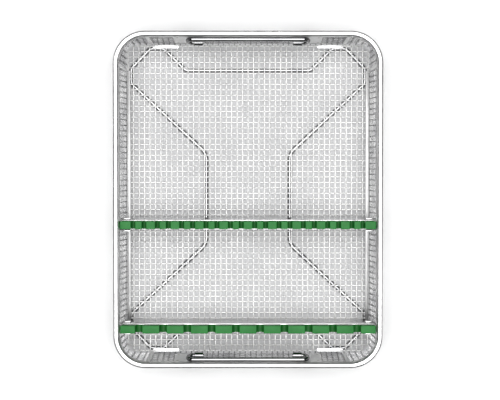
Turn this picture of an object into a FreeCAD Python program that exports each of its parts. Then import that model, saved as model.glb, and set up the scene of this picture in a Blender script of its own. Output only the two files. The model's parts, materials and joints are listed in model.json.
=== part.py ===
"""Wire instrument tray: a mesh basket on a bent rod underframe, with two
lift-out silicone holder bars and two bail handles that fold in from the ends.

Millimetres. +Z is up, X runs across the tray and Y along it, with the back at +Y.
The origin is on the ground under the middle of the tray.
"""
import FreeCAD, Part
import math
import os

V = FreeCAD.Vector
ORIGIN = V(0, 0, 0)
X_AXIS = V(1, 0, 0)
Y_AXIS = V(0, 1, 0)
Z_AXIS = V(0, 0, 1)

# Overall size, over the rim
tray_width = 240.0
tray_length = 300.0
tray_height = 50.0

# Mesh of straight wires, laid in two layers and welded where they cross
wire_d = 1.0
mesh_pitch = 5.0
weld_gap = 0.1

# Underframe rod, bent to one closed loop
frame_rod_d = 4.0
frame_bend_r = 6.0
frame_waist_bend_r = 14.0
frame_waist_x = 38.5
frame_waist_y = 42.0
frame_side_inset = 12.4
frame_side_length = 13.5
frame_lobe_inset = 12.0
frame_lobe_depth = 18.5
frame_lobe_corner = 17.6
frame_lobe_length = 12.5
frame_dip_depth = 20.0

# Floor and walls
floor_clearance = 0.2
wall_foot_inset = 9.1
wall_foot_gap = 0.3
floor_corner_r = 6.0
seam_foot_inset = 32.6
seam_gap = 0.6

# Rim: an inverted channel of folded sheet
rim_skirt = 9.0
rim_corner_r = 29.0
rim_play = 1.6
rim_inside_gap = 0.3
rim_skirt_gap = 0.2
sheet = 0.8

# Sheet edging round each flat wall
angle_leg = 3.0
strip_width = 3.6
strip_gap = 0.15

# Folding handles, one at each end: a bail whose feet turn inward into rolled eyes
handle_rod_d = 4.0
handle_span = 107.0
handle_bend_r = 5.0
handle_foot_bend_r = 4.5
handle_leg = 12.5
handle_foot = 13.5
handle_stow_drop = 2.0
eye_bore_clearance = 0.1
eye_wall = 1.0
eye_length = 8.0
eye_seat = 0.2
handle_plate_width = 26.0
handle_plate_drop = 26.0
rest_gap = 0.3

# Holder bars
bar_back_y = -22.7
bar_front_inset = 34.0
bar_top_drop = 6.0
bar_height = 20.0
bar_slide_gap = 0.5
bar_end_land = 5.0
rail_width = 9.0
rail_back_height = 12.0
rail_front_height = 5.0
rail_sheet = 1.0
seat_length = 7.0
seat_sheet = 1.2
seat_height = 8.0
seat_side_gap = 0.3
notch_pitch = 21.7
single_notch_width = 6.5
single_notch_depth = 10.0
pair_notch_width = 4.0
pair_notch_depth = 8.5
pair_notch_spacing = 9.8

# Worked out from the sizes above
rim_band = 2 * sheet + 2 * wire_d + rim_play
floor_z = frame_rod_d + floor_clearance
floor_top_z = floor_z + 2 * wire_d
wall_foot_z = floor_z + 0.2
foot_half_x = tray_width / 2 - wall_foot_inset
foot_half_y = tray_length / 2 - wall_foot_inset
skirt_z = tray_height - rim_skirt
wall_head_z = tray_height - sheet - rim_inside_gap
wall_lean = math.atan(
    (wall_foot_inset - rim_band + sheet + rim_skirt_gap) / (skirt_z - wall_foot_z)
)
wall_slope = math.tan(wall_lean)
wall_run = (wall_head_z - wall_foot_z) / math.cos(wall_lean)
level_count = int((wall_run - wire_d) / mesh_pitch) + 1
level_start = 2.0

END_HALF = tray_width / 2
LONG_HALF = tray_length / 2

# Each wall's turn about Z from the back wall, and the distance of its foot
SIDES = {
    "back": (0, foot_half_y),
    "left": (90, foot_half_x),
    "front": (180, foot_half_y),
    "right": (-90, foot_half_x),
}


def save(name, solids):
    """Write one node's STEP file."""
    shape = solids[0] if len(solids) == 1 else Part.makeCompound(solids)
    shape.exportStep("parts/" + name + ".step")


def straight_wire(start, end, flat):
    """A wire with eight flats, one of them square to flat, so crossings seat face to face."""
    run = end - start
    along = V(run).normalize()
    up = (flat - along * flat.dot(along)).normalize()
    side = up.cross(along)
    reach = wire_d / 2 / math.cos(math.pi / 8)
    corners = []
    for k in range(8):
        turn = math.pi / 8 + k * math.pi / 4
        corners.append(start + up * (reach * math.cos(turn)) + side * (reach * math.sin(turn)))
    return Part.Face(Part.makePolygon(corners + corners[:1])).extrude(run)


def box(x0, x1, y0, y1, z0, z1):
    """A box between two corners."""
    return Part.makeBox(x1 - x0, y1 - y0, z1 - z0, V(x0, y0, z0))


def prism(points, run):
    """The polygon through points, extruded along run."""
    return Part.Face(Part.makePolygon(points + points[:1])).extrude(run)


def on_wall(shape, side):
    """Move a shape from a wall's own frame (X along it, Y outward, Z up its slope)."""
    turn, foot = SIDES[side]
    placed = shape.copy()
    placed.rotate(ORIGIN, X_AXIS, -math.degrees(wall_lean))
    placed.translate(V(0, foot, wall_foot_z))
    placed.rotate(ORIGIN, Z_AXIS, turn)
    return placed


def mesh_lines(half):
    """Wire places from edge to edge of a panel, as near to the mesh pitch as comes out even."""
    reach = half - wire_d / 2
    spaces = round(2 * reach / mesh_pitch)
    return [-reach + k * 2 * reach / spaces for k in range(spaces + 1)]


def corner_cut(middle_from_edge):
    """How much the floor's corner radius shortens a wire that runs this far inside the edge."""
    flank = max(middle_from_edge - wire_d / 2, 0)
    if flank >= floor_corner_r:
        return 0.0
    return floor_corner_r - math.sqrt(floor_corner_r**2 - (floor_corner_r - flank) ** 2)


def floor_mesh():
    """Cross wires below, long wires on top of them."""
    half_x = foot_half_x - wall_foot_gap
    half_y = foot_half_y - wall_foot_gap
    wires = []
    for y in mesh_lines(half_y):
        reach = half_x - corner_cut(half_y - abs(y))
        z = floor_z + wire_d / 2
        wires.append(straight_wire(V(-reach, y, z), V(reach, y, z), Z_AXIS))
    for x in mesh_lines(half_x):
        reach = half_y - corner_cut(half_x - abs(x))
        z = floor_z + 1.5 * wire_d
        wires.append(straight_wire(V(x, -reach, z), V(x, reach, z), Z_AXIS))
    return wires


def seam_half(half, w):
    """Half length of a flat wall at the distance w up its slope."""
    share = w / wall_run
    seam_head_inset = rim_corner_r + seam_gap / 2
    return half - seam_foot_inset + share * (seam_foot_inset - seam_head_inset)


def wall_mesh(half):
    """Upright wires inside, level wires outside, in the wall's own frame."""
    wires = []
    for k in range(level_count):
        w = level_start + k * mesh_pitch
        reach = seam_half(half, w) - seam_gap / 2
        y = 1.5 * wire_d
        wires.append(straight_wire(V(-reach, y, w), V(reach, y, w), Y_AXIS))
    for x in mesh_lines(seam_half(half, 0)):
        wires.append(straight_wire(V(x, wire_d / 2, 0), V(x, wire_d / 2, wall_run), Y_AXIS))
    return wires


def corner_path(s, half_x, half_y, r, x0, y0):
    """Point and tangent at the share s of a path that runs straight, round a corner, straight."""
    first = half_x - r - x0
    second = half_y - r - y0
    arc = math.pi / 2 * r
    total = first + arc + second
    run = s * total
    if run <= first:
        return V(x0 + run, half_y, 0), V(total, 0, 0)
    if run >= first + arc:
        return V(half_x, half_y - r - (run - first - arc), 0), V(0, -total, 0)
    turn = (run - first) / r
    centre = V(half_x - r, half_y - r, 0)
    return centre + V(math.sin(turn), math.cos(turn), 0) * r, V(math.cos(turn), -math.sin(turn), 0) * total


def corner_point(s, z, out):
    """Point on the back right corner's inner face, moved outward by out."""
    share = (z - wall_foot_z) / (wall_head_z - wall_foot_z)
    head = foot_half_x + wall_slope * (wall_head_z - wall_foot_z)
    head_y = foot_half_y + wall_slope * (wall_head_z - wall_foot_z)
    head_r = head - (END_HALF - rim_corner_r)
    low, low_run = corner_path(
        s, foot_half_x, foot_half_y, floor_corner_r,
        END_HALF - seam_foot_inset + seam_gap / 2, LONG_HALF - seam_foot_inset + seam_gap / 2,
    )
    top, top_run = corner_path(
        s, head, head_y, head_r,
        END_HALF - rim_corner_r, LONG_HALF - rim_corner_r,
    )
    run = low_run * (1 - share) + top_run * share
    outward = V(-run.y, run.x, 0).normalize()
    place = low * (1 - share) + top * share + outward * out
    return V(place.x, place.y, z)


def corner_mesh():
    """The back right corner: the wall's mesh carried round from a tight foot to a wide head."""
    steps = 16
    wires = []
    near = wire_d + weld_gap
    for k in range(level_count):
        w = level_start + k * mesh_pitch
        z = wall_foot_z + w * math.cos(wall_lean) - wire_d / 2
        inner = [corner_point(i / steps, z, near) for i in range(steps + 1)]
        outer = [corner_point(i / steps, z, near + wire_d) for i in range(steps, -1, -1)]
        wires.append(prism(inner + outer, V(0, 0, wire_d)))
    for i in range(2, steps, 2):
        foot = corner_point(i / steps, wall_foot_z, wire_d / 2)
        head = corner_point(i / steps, wall_head_z, wire_d / 2)
        wires.append(straight_wire(foot, head, corner_point(i / steps, skirt_z / 2, 9) - foot))
    return wires


def rim_profile(band_from, band_to, place):
    """The rim's section, an inverted channel, on points given by place(across, z)."""
    top = tray_height
    return [
        place(band_from, skirt_z),
        place(band_from, top),
        place(band_to, top),
        place(band_to, skirt_z),
        place(band_to - sheet, skirt_z),
        place(band_to - sheet, top - sheet),
        place(band_from + sheet, top - sheet),
        place(band_from + sheet, skirt_z),
    ]


def rim_straight(half, reach):
    """One straight side of the rim, on the +Y side, at half from the middle."""
    points = rim_profile(half - rim_band, half, lambda across, z: V(-reach, across, z))
    return prism(points, V(2 * reach, 0, 0))


def rim_corner():
    """The back right corner of the rim."""
    points = rim_profile(rim_corner_r - rim_band, rim_corner_r, lambda across, z: V(across, 0, z))
    section = Part.Face(Part.makePolygon(points + points[:1]))
    ring = section.revolve(ORIGIN, Z_AXIS, 90)
    ring.translate(V(END_HALF - rim_corner_r, LONG_HALF - rim_corner_r, 0))
    return ring


def base_angle(foot, start, end):
    """An angle strip along the inside of the floor's edge, on the +Y side."""
    points = [
        V(start, foot, floor_top_z),
        V(start, foot, floor_top_z + angle_leg),
        V(start, foot - sheet, floor_top_z + angle_leg),
        V(start, foot - sheet, floor_top_z + sheet),
        V(start, foot - angle_leg, floor_top_z + sheet),
        V(start, foot - angle_leg, floor_top_z),
    ]
    return prism(points, V(end - start, 0, 0))


def seam_strip(half, hand):
    """A strip that covers one upright seam, in the wall's own frame."""
    low = (floor_top_z + angle_leg + rest_gap - wall_foot_z) / math.cos(wall_lean)
    high = (skirt_z - rest_gap - wall_foot_z) / math.cos(wall_lean)
    points = []
    for w, across in ((low, -1), (low, 1), (high, 1), (high, -1)):
        x = hand * seam_half(half, w) + across * strip_width / 2
        points.append(V(x, -strip_gap, w))
    return prism(points, V(0, -sheet, 0))


def rounded_path(corners, radii, closed):
    """A path of straight runs joined by tangent arcs at the corners."""
    edges = []
    count = len(corners)
    joints = []
    for k in range(count):
        here = corners[k]
        if not closed and k in (0, count - 1):
            joints.append((here, here, here))
            continue
        back = (corners[k - 1] - here).normalize()
        ahead = (corners[(k + 1) % count] - here).normalize()
        half_angle = math.acos(max(-1.0, min(1.0, back.dot(ahead)))) / 2
        cut = radii[k] / math.tan(half_angle)
        middle = (back + ahead).normalize()
        mid = here + middle * (radii[k] / math.sin(half_angle) - radii[k])
        joints.append((here + back * cut, mid, here + ahead * cut))
    for k in range(count):
        start, mid, end = joints[k]
        if (end - start).Length > 1e-6:
            edges.append(Part.Arc(start, mid, end).toShape())
        if closed or k < count - 1:
            edges.append(Part.makeLine(end, joints[(k + 1) % count][0]))
    return Part.Wire(edges)


def rod_along(path, d):
    """A round rod swept along a smooth path."""
    first = path.Edges[0]
    start = first.valueAt(first.FirstParameter)
    along = first.tangentAt(first.FirstParameter)
    section = Part.Wire(Part.makeCircle(d / 2, start, along))
    return path.makePipeShell([section], True, True)


def underframe():
    """The rod loop that the tray stands on: lobes under the corners, a waist in the middle."""
    z = frame_rod_d / 2
    lobe_y = LONG_HALF - frame_lobe_inset
    side_x = END_HALF - frame_side_inset
    side_y = lobe_y - frame_lobe_depth
    lobe_out_x = side_x - frame_lobe_corner
    lobe_in_x = lobe_out_x - frame_lobe_length
    quarter = [
        (frame_waist_x, frame_waist_y, frame_waist_bend_r),
        (side_x, side_y - frame_side_length, frame_bend_r),
        (side_x, side_y, frame_bend_r),
        (lobe_out_x, lobe_y, frame_bend_r),
        (lobe_in_x, lobe_y, frame_bend_r),
        (lobe_in_x - frame_dip_depth, lobe_y - frame_dip_depth, frame_bend_r),
    ]
    half = quarter + [(-x, y, r) for x, y, r in reversed(quarter)]
    loop = half + [(-x, -y, r) for x, y, r in half]
    corners = [V(x, y, z) for x, y, r in loop]
    return rod_along(rounded_path(corners, [r for x, y, r in loop], True), frame_rod_d)


# Handle sizes in the end wall's own frame, where n is the distance inward from the mesh
leg_x = handle_span / 2
foot_x = leg_x - handle_foot
eye_r = handle_rod_d / 2 + eye_bore_clearance + eye_wall
leg_n = sheet + eye_seat + eye_r


def leg_w(z):
    """Distance up the slope at which the handle's axis reaches height z."""
    return (z - wall_foot_z - leg_n * math.sin(wall_lean)) / math.cos(wall_lean)


grip_w = leg_w(tray_height - handle_stow_drop - handle_rod_d / 2)
pivot_w = grip_w - handle_leg


def handle_rod():
    """The bail: a grip, two legs and two inward feet, in the wall's own frame."""
    corners = [
        V(-foot_x, -leg_n, pivot_w),
        V(-leg_x, -leg_n, pivot_w),
        V(-leg_x, -leg_n, grip_w),
        V(leg_x, -leg_n, grip_w),
        V(leg_x, -leg_n, pivot_w),
        V(foot_x, -leg_n, pivot_w),
    ]
    bends = [0, handle_foot_bend_r, handle_bend_r, handle_bend_r, handle_foot_bend_r, 0]
    return rod_along(rounded_path(corners, bends, False), handle_rod_d)


def handle_eye(hand):
    """The rolled eye that a foot turns in."""
    bore = handle_rod_d / 2 + eye_bore_clearance
    start = V(hand * (foot_x + rest_gap), -leg_n, pivot_w)
    axis = V(hand, 0, 0)
    return Part.makeCylinder(eye_r, eye_length, start, axis).cut(
        Part.makeCylinder(bore, eye_length, start, axis)
    )


def handle_plate(hand):
    """The plate on the end wall that carries an eye."""
    top = (skirt_z - rest_gap - wall_foot_z) / math.cos(wall_lean)
    middle = hand * leg_x
    return box(
        middle - handle_plate_width / 2, middle + handle_plate_width / 2,
        -sheet, 0,
        top - handle_plate_drop, top,
    )


def wall_half_at(z):
    """Distance from the middle to a long wall's inner face at height z."""
    return foot_half_x + wall_slope * (z - wall_foot_z)


bar_top_z = tray_height - bar_top_drop
bar_bottom_z = bar_top_z - bar_height
bar_front_y = bar_front_inset - LONG_HALF
bar_top_half = END_HALF - rim_band - bar_slide_gap
bar_bottom_half = bar_top_half - wall_slope * (bar_top_z - bar_bottom_z)
silicone_width = rail_width - 2 * rail_sheet


def bar_outline(y):
    """The room that a bar may fill: its ends lean with the walls."""
    points = [
        V(-bar_bottom_half, y - rail_width, bar_bottom_z),
        V(bar_bottom_half, y - rail_width, bar_bottom_z),
        V(bar_top_half, y - rail_width, bar_top_z),
        V(-bar_top_half, y - rail_width, bar_top_z),
    ]
    return prism(points, V(0, 2 * rail_width, 0))


def rail(y):
    """The folded steel rail: a tall back leg, a floor and a low front lip."""
    reach = bar_top_half
    back = y + rail_width / 2
    front = y - rail_width / 2
    floor = bar_bottom_z + rail_sheet
    points = [
        V(-reach, front, bar_bottom_z),
        V(-reach, back, bar_bottom_z),
        V(-reach, back, bar_bottom_z + rail_back_height),
        V(-reach, back - rail_sheet, bar_bottom_z + rail_back_height),
        V(-reach, back - rail_sheet, floor),
        V(-reach, front + rail_sheet, floor),
        V(-reach, front + rail_sheet, bar_bottom_z + rail_front_height),
        V(-reach, front, bar_bottom_z + rail_front_height),
    ]
    return prism(points, V(2 * reach, 0, 0)).common(bar_outline(y))


def silicone(y, places, width, depth):
    """The silicone strip in a rail, with a round-bottomed notch at each place."""
    half = silicone_width / 2
    strip = box(
        -bar_top_half, bar_top_half, y - half, y + half, bar_bottom_z + rail_sheet, bar_top_z
    ).common(bar_outline(y))
    cutters = []
    for x in places:
        low = bar_top_z - depth + width / 2
        cutters.append(box(x - width / 2, x + width / 2, y - half, y + half, low, bar_top_z))
        cutters.append(Part.makeCylinder(width / 2, 2 * half, V(x, y - half, low), Y_AXIS))
    return strip.cut(cutters)


def rail_seat(y, hand):
    """The saddle on a long wall that a bar's end drops into."""
    low = bar_bottom_z - rest_gap
    half = rail_width / 2 + seat_side_gap
    outer = wall_half_at(low - seat_sheet) - strip_gap
    inner = outer - seat_length
    if abs(y) + half + seat_sheet > seam_half(LONG_HALF, 0) - strip_width / 2:
        # This seat is welded to the seam strip, not to the mesh behind it
        outer -= sheet + 2 * strip_gap
    saddle = box(
        inner, outer, y - half - seat_sheet, y + half + seat_sheet,
        low - seat_sheet, low - seat_sheet + seat_height,
    ).cut(box(inner, outer, y - half, y + half, low, tray_height))
    if hand < 0:
        saddle = saddle.mirror(ORIGIN, X_AXIS)
    return saddle


os.makedirs("parts", exist_ok=True)

save("floor_mesh", floor_mesh())
save("underframe_rod", [underframe()])

for side in SIDES:
    half = END_HALF if side in ("back", "front") else LONG_HALF
    foot = SIDES[side][1]
    save("wall_mesh_" + side, [on_wall(wire, side) for wire in wall_mesh(half)])
    save("seam_strips_" + side, [on_wall(seam_strip(half, hand), side) for hand in (-1, 1)])

    reach = seam_half(half, 0)
    # On the end walls the angle strip stops short of the handle's plates
    inner = leg_x + handle_plate_width / 2 - angle_leg
    runs = [(-reach, -inner), (inner, reach)] if side in ("back", "front") else [(-reach, reach)]
    strips = [base_angle(foot, start, end) for start, end in runs]
    for strip in strips:
        strip.rotate(ORIGIN, Z_AXIS, SIDES[side][0])
    save("base_angle_" + side, strips)

    across = LONG_HALF if side in ("back", "front") else END_HALF
    edge = rim_straight(across, half - rim_corner_r)
    edge.rotate(ORIGIN, Z_AXIS, SIDES[side][0])
    save("rim_" + side, [edge])

for end, flip_y in (("back", False), ("front", True)):
    for hand, flip_x in (("right", False), ("left", True)):
        mesh = corner_mesh()
        bend = rim_corner()
        if flip_x:
            mesh = [wire.mirror(ORIGIN, X_AXIS) for wire in mesh]
            bend = bend.mirror(ORIGIN, X_AXIS)
        if flip_y:
            mesh = [wire.mirror(ORIGIN, Y_AXIS) for wire in mesh]
            bend = bend.mirror(ORIGIN, Y_AXIS)
        save("corner_mesh_" + end + "_" + hand, mesh)
        save("rim_corner_" + end + "_" + hand, [bend])

for end in ("back", "front"):
    save("handle_" + end, [on_wall(handle_rod(), end)])
    # The front end is the back end turned round, so its left leg is the turned right one
    hands = {"right": 1, "left": -1} if end == "back" else {"right": -1, "left": 1}
    for name, hand in hands.items():
        save("handle_eye_" + end + "_" + name, [on_wall(handle_eye(hand), end)])
        save("handle_plate_" + end + "_" + name, [on_wall(handle_plate(hand), end)])

pair_width = pair_notch_spacing + pair_notch_width
notch_count = int((2 * bar_bottom_half - pair_width - 2 * bar_end_land) / notch_pitch) + 1
middles = [(k - (notch_count - 1) / 2) * notch_pitch for k in range(notch_count)]
pairs = [x + side * pair_notch_spacing / 2 for x in middles for side in (-1, 1)]
save("silicone_back", [silicone(bar_back_y, pairs, pair_notch_width, pair_notch_depth)])
save("silicone_front", [silicone(bar_front_y, middles, single_notch_width, single_notch_depth)])
for end, y in (("back", bar_back_y), ("front", bar_front_y)):
    save("rail_" + end, [rail(y)])
    save("rail_seat_" + end + "_right", [rail_seat(y, 1)])
    save("rail_seat_" + end + "_left", [rail_seat(y, -1)])
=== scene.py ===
import bpy
import json
import math
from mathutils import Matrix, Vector


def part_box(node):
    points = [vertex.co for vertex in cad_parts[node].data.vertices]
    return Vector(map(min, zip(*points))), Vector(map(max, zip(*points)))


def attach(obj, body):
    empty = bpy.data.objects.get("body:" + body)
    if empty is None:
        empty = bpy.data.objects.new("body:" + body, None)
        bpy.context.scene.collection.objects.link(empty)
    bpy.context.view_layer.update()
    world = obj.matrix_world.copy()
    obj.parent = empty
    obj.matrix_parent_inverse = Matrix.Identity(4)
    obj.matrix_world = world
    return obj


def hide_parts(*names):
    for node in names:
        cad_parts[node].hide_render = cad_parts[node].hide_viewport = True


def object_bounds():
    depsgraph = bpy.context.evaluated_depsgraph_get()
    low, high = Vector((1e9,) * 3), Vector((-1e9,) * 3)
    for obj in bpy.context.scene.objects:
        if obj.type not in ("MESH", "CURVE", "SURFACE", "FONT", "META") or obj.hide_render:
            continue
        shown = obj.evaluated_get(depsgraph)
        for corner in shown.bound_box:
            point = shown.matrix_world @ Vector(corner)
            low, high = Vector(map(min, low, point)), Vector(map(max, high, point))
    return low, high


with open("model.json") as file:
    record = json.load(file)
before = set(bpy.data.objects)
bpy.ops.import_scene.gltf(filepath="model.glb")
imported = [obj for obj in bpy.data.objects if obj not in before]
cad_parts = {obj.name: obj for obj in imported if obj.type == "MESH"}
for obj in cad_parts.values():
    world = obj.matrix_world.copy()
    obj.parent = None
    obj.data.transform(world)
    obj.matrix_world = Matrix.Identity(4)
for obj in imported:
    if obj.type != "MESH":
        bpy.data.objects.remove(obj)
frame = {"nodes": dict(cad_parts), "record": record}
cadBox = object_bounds()
record = frame["record"]
bodyOfNode = {node: body for body, nodes in record["behaviour"]["bodies"].items() for node in nodes}
print("frame loaded:", len(frame["nodes"]), "nodes")


class Value:
    # a shader socket that can be used in sums
    def __init__(self, tree, socket):
        self.tree = tree
        self.socket = socket

    def math(self, operation, *others, flip=False):
        node = self.tree.nodes.new("ShaderNodeMath")
        node.operation = operation
        terms = [self, *others]
        if flip:
            terms.reverse()
        for slot, term in zip(node.inputs, terms):
            if isinstance(term, Value):
                self.tree.links.new(term.socket, slot)
            else:
                slot.default_value = term
        return Value(self.tree, node.outputs[0])

    def __add__(self, other):
        return self.math("ADD", other)

    def __sub__(self, other):
        return self.math("SUBTRACT", other)

    def __rsub__(self, other):
        return self.math("SUBTRACT", other, flip=True)

    def __mul__(self, other):
        return self.math("MULTIPLY", other)

    def __truediv__(self, other):
        return self.math("DIVIDE", other)

    def __rtruediv__(self, other):
        return self.math("DIVIDE", other, flip=True)

    def __abs__(self):
        return self.math("ABSOLUTE")

    __radd__ = __add__
    __rmul__ = __mul__

    def above(self, low, high):
        # 0 up to low, 1 from high, and straight between them
        return ((self - low) / (high - low)).math("MAXIMUM", 0).math("MINIMUM", 1)


class Finish:
    # one material with its node tree, and the object's own x, y and z
    def __init__(self, name, metallic):
        self.material = bpy.data.materials.new(name)
        self.material.use_nodes = True
        self.tree = self.material.node_tree
        self.shader = self.tree.nodes["Principled BSDF"]
        self.shader.inputs["Metallic"].default_value = metallic
        self.place = self.node("TexCoord", out="Object")
        split = self.node("SeparateXYZ", links={"Vector": self.place}).socket.node
        self.x, self.y, self.z = [Value(self.tree, out) for out in split.outputs]

    def node(self, kind, settings=None, links=None, out=0):
        node = self.tree.nodes.new("ShaderNode" + kind)
        for key, value in (settings or {}).items():
            setattr(node, key, value)
        for key, value in (links or {}).items():
            if isinstance(value, Value):
                self.tree.links.new(value.socket, node.inputs[key])
            else:
                node.inputs[key].default_value = value
        return Value(self.tree, node.outputs[out])

    def noise(self, scale, stretch=(1, 1, 1), detail=3.0, rough=0.5):
        moved = self.node("Mapping", links={"Vector": self.place, "Scale": stretch})
        sockets = {"Vector": moved, "Scale": scale, "Detail": detail, "Roughness": rough}
        return self.node("TexNoise", links=sockets)

    def blend(self, factor, first, second):
        # a Mix node's colours are its inputs 6 and 7 and its output 2
        colours = [colour if isinstance(colour, Value) else (*colour, 1) for colour in (first, second)]
        return self.node("Mix", {"data_type": "RGBA"}, {0: factor, 6: colours[0], 7: colours[1]}, out=2)

    def paint(self, colour, roughness):
        self.tree.links.new(colour.socket, self.shader.inputs["Base Color"])
        self.tree.links.new(roughness.socket, self.shader.inputs["Roughness"])

    def bump(self, height, depth, strength):
        raised = self.node("Bump", links={"Height": height, "Distance": depth, "Strength": strength})
        self.tree.links.new(raised.socket, self.shader.inputs["Normal"])


# the three wire looks are lit and shaded copies of one steel: the floor's wires are the lit copy, the side
# walls' wires carry painted shade and the end walls' wires a darker painted shade
floorWireLook = {"bright": (0.77, 0.77, 0.76), "grey": (0.64, 0.64, 0.64), "rough": 0.22}
shadedSideWireLook = {"bright": (0.56, 0.56, 0.56), "grey": (0.36, 0.36, 0.37), "rough": 0.12}
shadedEndWireLook = {"bright": (0.34, 0.34, 0.34), "grey": (0.19, 0.19, 0.20), "rough": 0.12}
wireGrain = {
    "cloudScale": 60, "greyFrom": 0.35, "greyTo": 0.7, "cloudRough": 0.14,
    "drawnScale": 2200, "drawnRough": 0.08, "depth": 0.00003, "strength": 0.3,
}
crossingTint = {"colour": (0.46, 0.44, 0.40), "start": 0.31, "full": 0.45, "share": 0.4, "rough": 0.15}


def nearCrossing(place, pitch):
    # 1 at each whole pitch from the middle, where a wire lies
    return abs((place / pitch).math("FRACT") - 0.5).above(crossingTint["start"], crossingTint["full"])


def wireFinish(name, look, pitches=None):
    steel = Finish(name, 1.0)
    cloud = steel.noise(wireGrain["cloudScale"])
    drawn = steel.noise(wireGrain["drawnScale"], detail=2.0)
    greyer = cloud.above(wireGrain["greyFrom"], wireGrain["greyTo"])
    colour = steel.blend(greyer, look["bright"], look["grey"])
    rough = look["rough"] + cloud * wireGrain["cloudRough"] + drawn * wireGrain["drawnRough"]
    if pitches:
        # a faint weld tint where the floor's wires cross
        crossing = nearCrossing(steel.x, pitches[0]) * nearCrossing(steel.y, pitches[1])
        colour = steel.blend(crossing * crossingTint["share"], colour, crossingTint["colour"])
        rough = rough + crossing * crossingTint["rough"]
    steel.paint(colour, rough)
    steel.bump(drawn, wireGrain["depth"], wireGrain["strength"])
    return steel.material


underframeLook = {"bright": (0.34, 0.34, 0.34), "grey": (0.20, 0.20, 0.21), "rough": 0.04}
handleLook = {"bright": (0.32, 0.32, 0.32), "grey": (0.20, 0.20, 0.21), "rough": 0.05}
rodGrain = {
    "cloudScale": 45, "greyFrom": 0.4, "greyTo": 0.75, "cloudRough": 0.08,
    "fineScale": 900, "fineFrom": 0.55, "fineTo": 0.8, "fineRough": 0.08,
    "depth": 0.00002, "strength": 0.25,
}


def rodFinish(name, look):
    steel = Finish(name, 1.0)
    cloud = steel.noise(rodGrain["cloudScale"])
    fine = steel.noise(rodGrain["fineScale"], detail=4.0)
    greyer = cloud.above(rodGrain["greyFrom"], rodGrain["greyTo"])
    worn = fine.above(rodGrain["fineFrom"], rodGrain["fineTo"])
    colour = steel.blend(greyer, look["bright"], look["grey"])
    steel.paint(colour, look["rough"] + cloud * rodGrain["cloudRough"] + worn * rodGrain["fineRough"])
    steel.bump(fine, rodGrain["depth"], rodGrain["strength"])
    return steel.material


sheetLook = {
    "bright": (0.66, 0.66, 0.66), "grey": (0.50, 0.50, 0.50), "speck": (0.30, 0.29, 0.28),
    "rough": 0.19, "brushedRough": 0.12,
}
# painted shade: a darker copy of the sheet steel for the base angles along the side walls
shadedAngleLook = {
    "bright": (0.40, 0.40, 0.40), "grey": (0.28, 0.28, 0.28), "speck": (0.12, 0.12, 0.12),
    "rough": 0.28, "brushedRough": 0.14,
}
# painted light: a lit copy of the sheet steel, much paler than the rim, so the handle plates and seam
# strips read white
litPlateLook = {
    "bright": (0.95, 0.95, 0.95), "grey": (0.84, 0.84, 0.84), "speck": (0.45, 0.45, 0.45),
    "rough": 0.36, "brushedRough": 0.14,
}
sheetGrain = {
    "cloudScale": 35, "greyFrom": 0.35, "greyTo": 0.75, "cloudRough": 0.08,
    "brushedScale": 500, "acrossX": (0.05, 1, 1), "alongY": (1, 0.05, 1),
    "speckScale": 1300, "speckFrom": 0.66, "speckTo": 0.75, "speckShare": 0.3, "speckRough": 0.1,
    "depth": 0.00004, "strength": 0.35,
}


def sheetFinish(name, grain, look):
    steel = Finish(name, 1.0)
    cloud = steel.noise(sheetGrain["cloudScale"])
    brushed = steel.noise(sheetGrain["brushedScale"], stretch=sheetGrain[grain], detail=4.0, rough=0.6)
    specks = steel.noise(sheetGrain["speckScale"], detail=2.0)
    specks = specks.above(sheetGrain["speckFrom"], sheetGrain["speckTo"])
    greyer = cloud.above(sheetGrain["greyFrom"], sheetGrain["greyTo"])
    colour = steel.blend(greyer, look["bright"], look["grey"])
    colour = steel.blend(specks * sheetGrain["speckShare"], colour, look["speck"])
    rough = look["rough"] + cloud * sheetGrain["cloudRough"] + brushed * look["brushedRough"]
    steel.paint(colour, rough + specks * sheetGrain["speckRough"])
    steel.bump(brushed, sheetGrain["depth"], sheetGrain["strength"])
    return steel.material


weldLook = {
    "bright": (0.62, 0.61, 0.59), "heat": (0.34, 0.29, 0.22), "rough": 0.25,
    "heatScale": 400, "heatFrom": 0.45, "heatTo": 0.75, "heatRough": 0.2,
    "rippleScale": 1500, "rippleStretch": (1, 0.3, 0.3), "depth": 0.0001, "strength": 0.6,
}


def weldFinish(name, look):
    steel = Finish(name, 1.0)
    heat = steel.noise(look["heatScale"])
    ripple = steel.noise(look["rippleScale"], stretch=look["rippleStretch"], detail=2.0)
    colour = steel.blend(heat.above(look["heatFrom"], look["heatTo"]), look["bright"], look["heat"])
    steel.paint(colour, look["rough"] + heat * look["heatRough"])
    steel.bump(ripple, look["depth"], look["strength"])
    return steel.material


siliconeLook = {
    "green": (0.008, 0.148, 0.020), "deep": (0.004, 0.108, 0.011), "pale": (0.050, 0.260, 0.070),
    "deepBelow": 0.009, "greenFrom": 0.003, "wornBelow": 0.0012, "wornShare": 0.4,
    "cloudScale": 70, "wornFrom": 0.35, "wornTo": 0.7, "fineScale": 1600,
    "rough": 0.45, "cloudRough": 0.12, "fineRough": 0.10, "depth": 0.00008, "strength": 0.5,
    "specular": 0.3, "subsurface": 0.08, "subsurfaceScale": 0.004,
}


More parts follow.
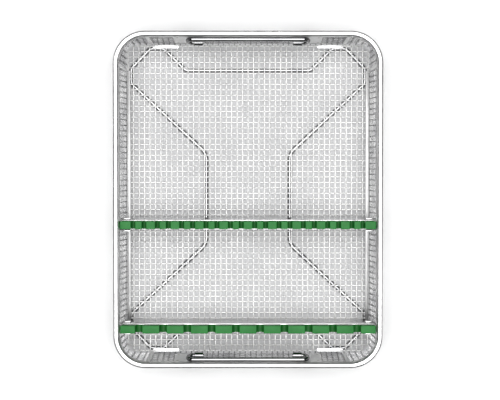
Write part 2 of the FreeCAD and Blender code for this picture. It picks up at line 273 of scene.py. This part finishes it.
def siliconeFinish(name, look):
    rubber = Finish(name, 0.0)
    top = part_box("silicone_front")[1].z
    cloud = rubber.noise(look["cloudScale"])
    fine = rubber.noise(look["fineScale"], detail=3.0)
    # paler in patches along the top edge, partly wear and partly a painted highlight on its rounded edge;
    # the deeper green low down in the notches is painted shade
    worn = rubber.z.above(top - look["wornBelow"], top) * cloud.above(look["wornFrom"], look["wornTo"])
    raised = rubber.z.above(top - look["deepBelow"], top - look["greenFrom"])
    colour = rubber.blend(raised, look["deep"], look["green"])
    colour = rubber.blend(worn * look["wornShare"], colour, look["pale"])
    rubber.shader.inputs["Specular IOR Level"].default_value = look["specular"]
    rubber.shader.inputs["Subsurface Weight"].default_value = look["subsurface"]
    rubber.shader.inputs["Subsurface Scale"].default_value = look["subsurfaceScale"]
    rubber.paint(colour, look["rough"] + cloud * look["cloudRough"] + fine * look["fineRough"])
    rubber.bump(fine, look["depth"], look["strength"])
    return rubber.material


# under is the grey of a painted shadow, laid on the paper in a rectangle under the tray
floorLook = {
    "white": (0.95, 0.95, 0.95), "mottle": (0.93, 0.93, 0.93), "under": (0.68, 0.68, 0.69),
    "softEdge": 0.010, "cloudScale": 3, "rough": 0.75, "cloudRough": 0.1,
}


def floorFinish(name, look):
    paper = Finish(name, 0.0)
    cloud = paper.noise(look["cloudScale"])
    # painted shadow: the paper is greyer in a rectangle under the tray
    half = cadBox[1]
    outsidePaintedShadow = (abs(paper.x) - half[0]).math("MAXIMUM", abs(paper.y) - half[1])
    colour = paper.blend(cloud, look["white"], look["mottle"])
    colour = paper.blend(outsidePaintedShadow.above(-look["softEdge"], 0), look["under"], colour)
    paper.paint(colour, look["rough"] + cloud * look["cloudRough"])
    return paper.material


floorWires = {"thickness": 0.001, "pitch": 0.005}
meshLow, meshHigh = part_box("floor_mesh")
spans = [meshHigh[axis] - meshLow[axis] - floorWires["thickness"] for axis in (0, 1)]
floorPitches = [span / round(span / floorWires["pitch"]) for span in spans]
finishes = {
    "floorWire": wireFinish("floorWire", floorWireLook, floorPitches),
    "sideWire": wireFinish("sideWallWire", shadedSideWireLook),
    "endWire": wireFinish("endWallWire", shadedEndWireLook),
    "underframe": rodFinish("underframeRod", underframeLook),
    "handle": rodFinish("handleRod", handleLook),
    "weld": weldFinish("weldBead", weldLook),
    "sheetX": sheetFinish("sheetBrushedAcross", "acrossX", sheetLook),
    "sheetY": sheetFinish("sheetBrushedAlong", "alongY", sheetLook),
    "plate": sheetFinish("handlePlateSheet", "acrossX", litPlateLook),
    "angle": sheetFinish("sideAngleSheet", "alongY", shadedAngleLook),
    "silicone": siliconeFinish("greenSilicone", siliconeLook),
    "floor": floorFinish("paleFloor", floorLook),
}
print("finishes made")


def deselectAll():
    bpy.ops.object.select_all(action="DESELECT")


def pick(piece):
    deselectAll()
    piece.select_set(True)
    bpy.context.view_layer.objects.active = piece


def setFinish(piece, key):
    piece.data.materials.clear()
    piece.data.materials.append(finishes[key])


cleaning = {"mergeDistance": 2e-6, "flatAngle": 1.0}


def cleanCopy(node, name):
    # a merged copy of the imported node, with its flat faces made whole again
    piece = frame["nodes"][node].copy()
    piece.data = piece.data.copy()
    piece.name = name
    for key in list(piece.keys()):
        del piece[key]
    piece.parent = None
    piece.data.name = name
    bpy.context.scene.collection.objects.link(piece)
    pick(piece)
    bpy.ops.object.mode_set(mode="EDIT")
    bpy.ops.mesh.select_all(action="SELECT")
    bpy.ops.mesh.remove_doubles(threshold=cleaning["mergeDistance"])
    bpy.ops.mesh.dissolve_limited(angle_limit=math.radians(cleaning["flatAngle"]))
    bpy.ops.object.mode_set(mode="OBJECT")
    return piece


def bevelEdges(piece, isWanted, width, segments):
    pick(piece)
    bpy.ops.object.mode_set(mode="EDIT")
    bpy.ops.mesh.select_all(action="DESELECT")
    bpy.ops.mesh.select_mode(type="EDGE")
    bpy.ops.object.mode_set(mode="OBJECT")
    points = piece.data.vertices
    for edge in piece.data.edges:
        edge.select = isWanted(points[edge.vertices[0]].co, points[edge.vertices[1]].co)
    bpy.ops.object.mode_set(mode="EDIT")
    bpy.ops.mesh.bevel(offset=width, segments=segments, affect="EDGES", clamp_overlap=True)
    bpy.ops.object.mode_set(mode="OBJECT")


sharpAngle = 50  # degrees; edges that turn more than this are softened


def softenEdges(piece, shape):
    pick(piece)
    bevel = piece.modifiers.new("edges", "BEVEL")
    bevel.width = shape["edgeRadius"]
    bevel.segments = shape["segments"]
    bevel.limit_method = "ANGLE"
    bevel.angle_limit = math.radians(sharpAngle)
    bevel.harden_normals = False
    bpy.ops.object.modifier_apply(modifier=bevel.name)


def smooth(piece, angle):
    pick(piece)
    bpy.ops.object.shade_smooth_by_angle(angle=math.radians(angle))


def install(piece, node, key):
    setFinish(piece, key)
    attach(piece, bodyOfNode[node])
    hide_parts(node)


# the back corners take the end walls' darker painted shade, the front corners the side walls' painted shade
meshPanels = {
    "floor_mesh": ("floorWires", "floorWire"),
    "wall_mesh_back": ("backWallWires", "endWire"),
    "wall_mesh_front": ("frontWallWires", "endWire"),
    "wall_mesh_left": ("leftWallWires", "sideWire"),
    "wall_mesh_right": ("rightWallWires", "sideWire"),
    "corner_mesh_back_left": ("backLeftCornerWires", "endWire"),
    "corner_mesh_back_right": ("backRightCornerWires", "endWire"),
    "corner_mesh_front_left": ("frontLeftCornerWires", "sideWire"),
    "corner_mesh_front_right": ("frontRightCornerWires", "sideWire"),
}
cornerWire = {"edgeRadius": 0.0004, "segments": 3}
meshSmoothAngle = 50
for node, (name, key) in meshPanels.items():
    piece = cleanCopy(node, name)
    if node.startswith("corner"):
        softenEdges(piece, cornerWire)
    smooth(piece, meshSmoothAngle)
    install(piece, node, key)
print("wire mesh made")


rimShape = {"edgeRadius": 0.0019, "segments": 5, "smoothAngle": 35, "levelWithin": 2e-5, "evenWithin": 1e-4}


def nearerMiddle(first, second):
    return first if abs(first) < abs(second) else second


def rimPiece(node, name, key):
    low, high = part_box(node)
    piece = cleanCopy(node, name)
    centre = (nearerMiddle(low.x, high.x), nearerMiddle(low.y, high.y))  # of a corner's bend

    def across(point):
        if "corner" in node:
            return math.hypot(point.x - centre[0], point.y - centre[1])
        return abs(point.x) if node in ("rim_left", "rim_right") else abs(point.y)

    def isTopEdge(first, second):
        # an edge that runs along the rim, level with its top
        onTop = min(first.z, second.z) > high.z - rimShape["levelWithin"]
        return onTop and abs(across(first) - across(second)) < rimShape["evenWithin"]

    bevelEdges(piece, isTopEdge, rimShape["edgeRadius"], rimShape["segments"])
    smooth(piece, rimShape["smoothAngle"])
    install(piece, node, key)


for side in ("back", "front"):
    rimPiece("rim_" + side, side + "Rim", "sheetX")
    for hand in ("left", "right"):
        rimPiece("rim_corner_%s_%s" % (side, hand), "%s%sRimCorner" % (side, hand.capitalize()), "sheetX")
for side in ("left", "right"):
    rimPiece("rim_" + side, side + "Rim", "sheetY")
print("rim made")


# a node takes the first of these that its name starts with
trimShapes = {
    "seam_strips_": {"edgeRadius": 0.00025, "segments": 2, "finish": "plate"},
    "base_angle_": {"edgeRadius": 0.0002, "segments": 2, "finish": "sheetX", "sideFinish": "angle"},
    "rail_seat_": {"edgeRadius": 0.0002, "segments": 2, "finish": "sheetX"},
    "rail_": {"edgeRadius": 0.0002, "segments": 2, "finish": "sheetX"},
    "handle_plate_": {"edgeRadius": 0.0002, "segments": 2, "finish": "plate"},
    "handle_eye_": {"edgeRadius": 0.0003, "segments": 3, "finish": "handle"},
}
trimSmoothAngle = 35
plateCorner = {"radius": 0.0025, "segments": 5, "sheetUnder": 0.001}


def isPlateCorner(first, second):
    # an edge as short as the sheet is thick
    return (first - second).length < plateCorner["sheetUnder"]


for node in sorted(frame["nodes"]):
    start = next((start for start in trimShapes if node.startswith(start)), None)
    if start is None:
        continue
    shape = trimShapes[start]
    name = "".join(word.capitalize() for word in node.split("_"))
    piece = cleanCopy(node, name[0].lower() + name[1:])
    if start == "handle_plate_":
        bevelEdges(piece, isPlateCorner, plateCorner["radius"], plateCorner["segments"])
    softenEdges(piece, shape)
    smooth(piece, trimSmoothAngle)
    # base angles on the left and right walls take the darker painted-shade sheet
    onSide = node.endswith(("_left", "_right"))
    install(piece, node, shape.get("sideFinish", shape["finish"]) if onSide else shape["finish"])
print("trim made")

stripShape = {"edgeRadius": 0.00045, "segments": 3, "smoothAngle": 40}
for end in ("back", "front"):
    piece = cleanCopy("silicone_" + end, end + "SiliconeStrip")
    softenEdges(piece, stripShape)
    smooth(piece, stripShape["smoothAngle"])
    install(piece, "silicone_" + end, "silicone")
print("silicone made")

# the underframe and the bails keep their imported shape
rodFinishes = {"underframe_rod": "underframe", "handle_back": "handle", "handle_front": "handle"}
for node, key in rodFinishes.items():
    setFinish(frame["nodes"][node], key)
print("rods finished")


wallLean = 7.63  # degrees that the end walls lean outwards
ends = {"back": 1, "front": -1}  # which way each end faces along y


def wallDirections(facing):
    # out of an end wall's face, and up along it
    lean = math.radians(wallLean)
    out = Vector((0, facing * math.cos(lean), -math.sin(lean)))
    up = Vector((0, facing * math.sin(lean), math.cos(lean)))
    return out, up


def applyPlace():
    bpy.ops.object.transform_apply(location=True, rotation=True, scale=True)


def joinPieces(pieces, name):
    pick(pieces[0])
    for piece in pieces:
        piece.select_set(True)
    bpy.ops.object.join()
    joined = bpy.context.object
    joined.name = joined.data.name = name
    return joined


def installWeld(piece, smoothAngle):
    smooth(piece, smoothAngle)
    setFinish(piece, "weld")
    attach(piece, "tray")


# two weld beads hold each rolled eye to its plate
weldBead = {
    "thickness": 0.0011, "lengthShare": 0.94, "segments": 14, "rings": 22,
    "spread": 0.0017, "towardPlate": 0.0029,
    "lumpSize": 0.0009, "lumpHeight": 0.00024, "lumpMiddle": 0.5, "smoothAngle": 60,
}


def makeBead(low, high, out, rise):
    deselectAll()
    bpy.ops.mesh.primitive_uv_sphere_add(
        segments=weldBead["segments"], ring_count=weldBead["rings"], radius=0.5,
        rotation=(0, math.pi / 2, 0),
        location=(low + high) / 2 + out * weldBead["towardPlate"] + rise)
    bead = bpy.context.object
    length = (high.x - low.x) * weldBead["lengthShare"]
    bead.scale = (weldBead["thickness"], weldBead["thickness"], length)
    applyPlace()
    return bead


for end, facing in ends.items():
    out, up = wallDirections(facing)
    for hand in ("left", "right"):
        low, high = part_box("handle_eye_%s_%s" % (end, hand))
        beads = [makeBead(low, high, out, up * (side * weldBead["spread"])) for side in (-1, 1)]
        piece = joinPieces(beads, end + hand.capitalize() + "EyeWeld")
        clouds = bpy.data.textures.new(piece.name, "CLOUDS")
        clouds.noise_scale = weldBead["lumpSize"]
        lumps = piece.modifiers.new("lumps", "DISPLACE")
        lumps.texture = clouds
        lumps.texture_coords = "LOCAL"
        lumps.strength = weldBead["lumpHeight"]
        lumps.mid_level = weldBead["lumpMiddle"]
        bpy.ops.object.modifier_apply(modifier=lumps.name)
        installWeld(piece, weldBead["smoothAngle"])
print("weld beads made")

# spot welds that hold each plate to the wall mesh
spotWeld = {
    "radius": 0.0011, "rise": 0.00012, "sides": 20, "across": 0.0098, "up": 0.0095,
    "plateHalf": 0.0004, "rimShare": 0.35, "dishShare": 0.7, "smoothAngle": 50,
}


def makeSpot(place, facing, out):
    deselectAll()
    bpy.ops.mesh.primitive_cylinder_add(
        vertices=spotWeld["sides"], radius=spotWeld["radius"], depth=spotWeld["rise"] * 2,
        rotation=(facing * (math.pi / 2 - math.radians(wallLean)), 0, 0), location=place)
    spot = bpy.context.object
    applyPlace()
    for face in spot.data.polygons:
        face.select = face.normal.dot(out) < -0.9  # only the face towards the basket
    bpy.ops.object.mode_set(mode="EDIT")
    bpy.ops.mesh.select_mode(type="FACE")
    bpy.ops.mesh.inset(thickness=spotWeld["radius"] * spotWeld["rimShare"])
    bpy.ops.transform.translate(value=out * spotWeld["rise"] * spotWeld["dishShare"])
    bpy.ops.object.mode_set(mode="OBJECT")
    return spot


for end, facing in ends.items():
    out, up = wallDirections(facing)
    for hand in ("left", "right"):
        low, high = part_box("handle_plate_%s_%s" % (end, hand))
        spots = []
        for across in (-1, 1):
            for rise in (-1, 1):
                place = (low + high) / 2 - out * spotWeld["plateHalf"] + up * (rise * spotWeld["up"])
                place.x += across * spotWeld["across"]
                spots.append(makeSpot(place, facing, out))
        piece = joinPieces(spots, end + hand.capitalize() + "PlateSpots")
        installWeld(piece, spotWeld["smoothAngle"])
print("spot welds made")

floorWidth = 6.0
deselectAll()
bpy.ops.mesh.primitive_plane_add(size=floorWidth, location=(0, 0, 0))
ground = bpy.context.object
ground.name = "paleFloorPlane"
ground.data.materials.append(finishes["floor"])

lightAim = (0, 0, 0)
lights = {
    "overhead": {"place": (0.0, 0.05, 1.7), "size": 1.8, "power": 49},
    "left": {"place": (-1.8, 0.5, 0.7), "size": 0.5, "power": 1.5},
    "right": {"place": (1.8, -0.4, 0.7), "size": 0.5, "power": 1.2},
}
for name, light in lights.items():
    bpy.ops.object.light_add(type="AREA", location=light["place"])
    lamp = bpy.context.object
    lamp.name = name + "Softbox"
    lamp.data.size = light["size"]
    lamp.data.energy = light["power"]
    beam = Vector(lightAim) - Vector(light["place"])
    lamp.rotation_euler = beam.to_track_quat("-Z", "Y").to_euler()

worldLook = {"colour": (0.85, 0.87, 0.90, 1), "strength": 0.06}
world = bpy.data.worlds.new("studio")
bpy.context.scene.world = world
world.use_nodes = True
background = world.node_tree.nodes["Background"]
background.inputs["Color"].default_value = worldLook["colour"]
background.inputs["Strength"].default_value = worldLook["strength"]

cameraSetup = {
    "place": (0.0018, 0.030, 1.20), "aim": (0.0018, 0.0, 0.05),
    "lens": 93.5, "sensor": 36, "farthest": 20,
}
bpy.ops.object.camera_add(location=cameraSetup["place"])
camera = bpy.context.object
camera.data.lens = cameraSetup["lens"]
camera.data.sensor_width = cameraSetup["sensor"]
camera.data.clip_end = cameraSetup["farthest"]
sight = Vector(cameraSetup["aim"]) - Vector(cameraSetup["place"])
camera.rotation_euler = (math.atan2(sight.y, -sight.z), 0, 0)
bpy.context.scene.camera = camera
bpy.context.scene.view_settings.view_transform = "Standard"  # keeps the pale floor white
print("stage, light and camera made")
